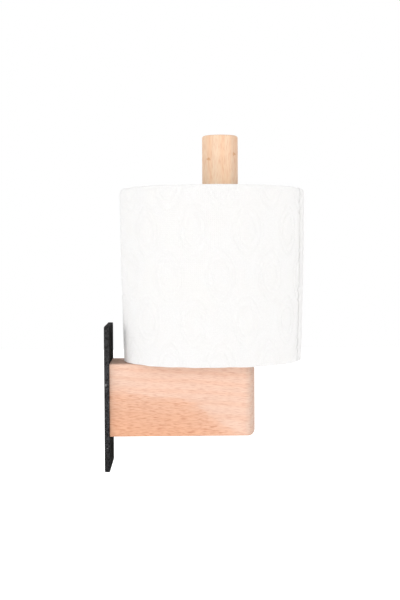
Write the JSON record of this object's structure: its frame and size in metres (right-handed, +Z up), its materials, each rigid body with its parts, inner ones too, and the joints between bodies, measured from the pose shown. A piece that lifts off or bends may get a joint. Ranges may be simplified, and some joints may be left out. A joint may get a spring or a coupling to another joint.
{
  "type": "toilet roll holder",
  "caption": "Wall-mounted toilet roll holder: a square beech arm on a black steel plate, with an upright round spindle that carries a standing tissue roll.",
  "frame": {"origin": "on the wall plate's back face, at the wall, level with the arm's middle", "axes": "+X out of the wall along the arm, +Y to the right of somebody facing the wall, +Z up along the spindle"},
  "size_m": [0.1114, 0.1028, 0.1853],
  "materials": {
    "black_powder_coat": "matte",
    "arm_beech": "satin",
    "spindle_beech": "satin",
    "zinc_screw": "satin",
    "core_card": "matte",
    "tissue": "matte"
  },
  "bodies": {
    "holder": {"wall_plate": "black_powder_coat", "arm": "arm_beech", "spindle": "spindle_beech", "arm_screw_upper": "zinc_screw", "arm_screw_lower": "zinc_screw"},
    "core": {"roll_core": "core_card"},
    "paper": {"paper_winding": "tissue", "last_sheet": "tissue"}
  },
  "joints": [
    {"name": "roll_lift", "type": "slide", "parent": "holder", "child": "core", "axis": [0, 0, 1], "range_m": [0, 0.13]},
    {"name": "roll_spin", "type": "hinge", "parent": "core", "child": "paper", "pos_m": [0.0597, 0, 0.0683], "axis": [0, 0, 1], "continuous": true}
  ]
}
